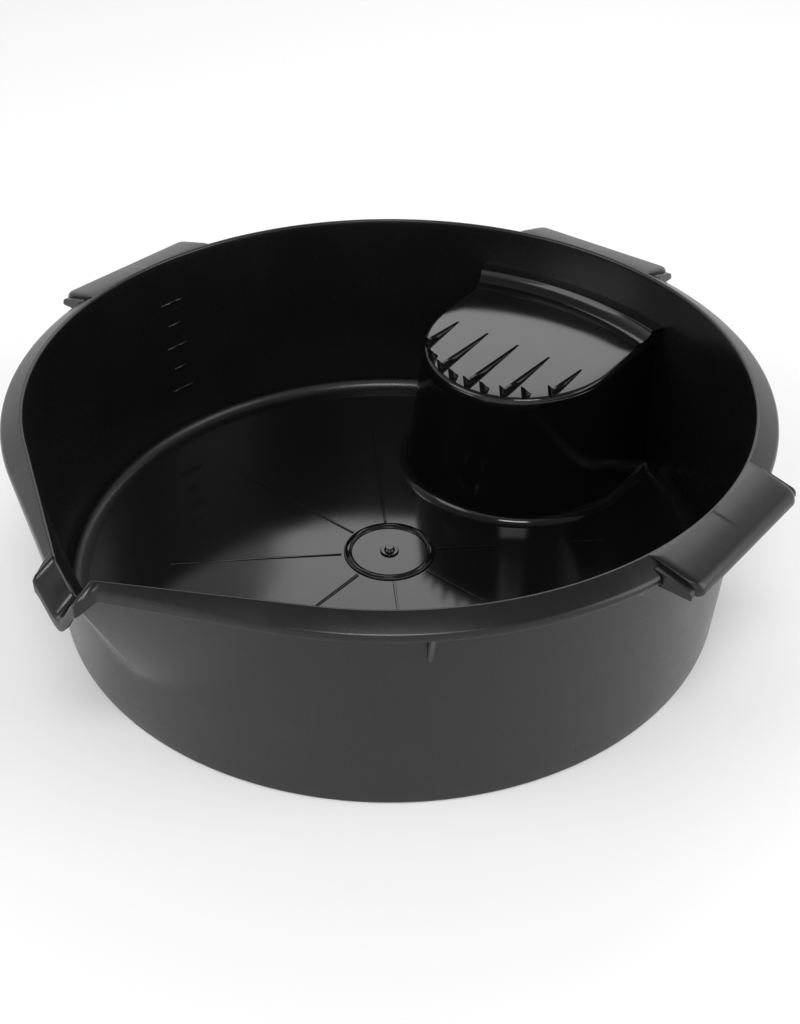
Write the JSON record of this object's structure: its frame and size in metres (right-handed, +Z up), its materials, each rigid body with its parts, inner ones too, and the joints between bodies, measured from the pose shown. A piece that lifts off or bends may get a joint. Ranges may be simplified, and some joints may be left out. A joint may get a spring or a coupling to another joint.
{
  "type": "oil drain pan",
  "caption": "Round shallow black plastic drain pan with a pouring spout, finger grips on the rim, and a finned shelf inside for draining a filter.",
  "frame": {"origin": "on the pan's vertical axis, at the level it stands on", "axes": "+Z up, out of the open top; -Y towards the pouring spout; +Y towards the filter shelf and the back grip; +X and -X towards the side grips"},
  "size_m": [0.396, 0.4075, 0.1165],
  "materials": {
    "shell_outer": "satin black moulded polyethylene with a fine mould texture",
    "shell_inner": "glossy black moulded polyethylene, as on the polished core side of the mould"
  },
  "bodies": {
    "root": {"foot_ring": "shell_outer", "floor": "shell_inner", "centre_ring": "shell_inner", "gate_boss": "shell_inner", "floor_ribs": "shell_inner", "side_wall": "shell_outer", "spout_wall": "shell_outer", "rim": "shell_outer", "spout_rim": "shell_outer", "spout_lip": "shell_outer", "handle_left": "shell_outer", "handle_right": "shell_outer", "handle_back": "shell_outer", "handle_left_blocks": "shell_outer", "handle_right_blocks": "shell_outer", "handle_back_blocks": "shell_outer", "handle_gussets": "shell_outer", "rim_gussets": "shell_outer", "shelf_wall": "shell_inner", "shelf_top": "shell_inner", "shelf_ledge": "shell_inner", "long_fins": "shell_inner", "short_fins": "shell_inner", "level_scale": "shell_inner"}
  },
  "joints": []
}
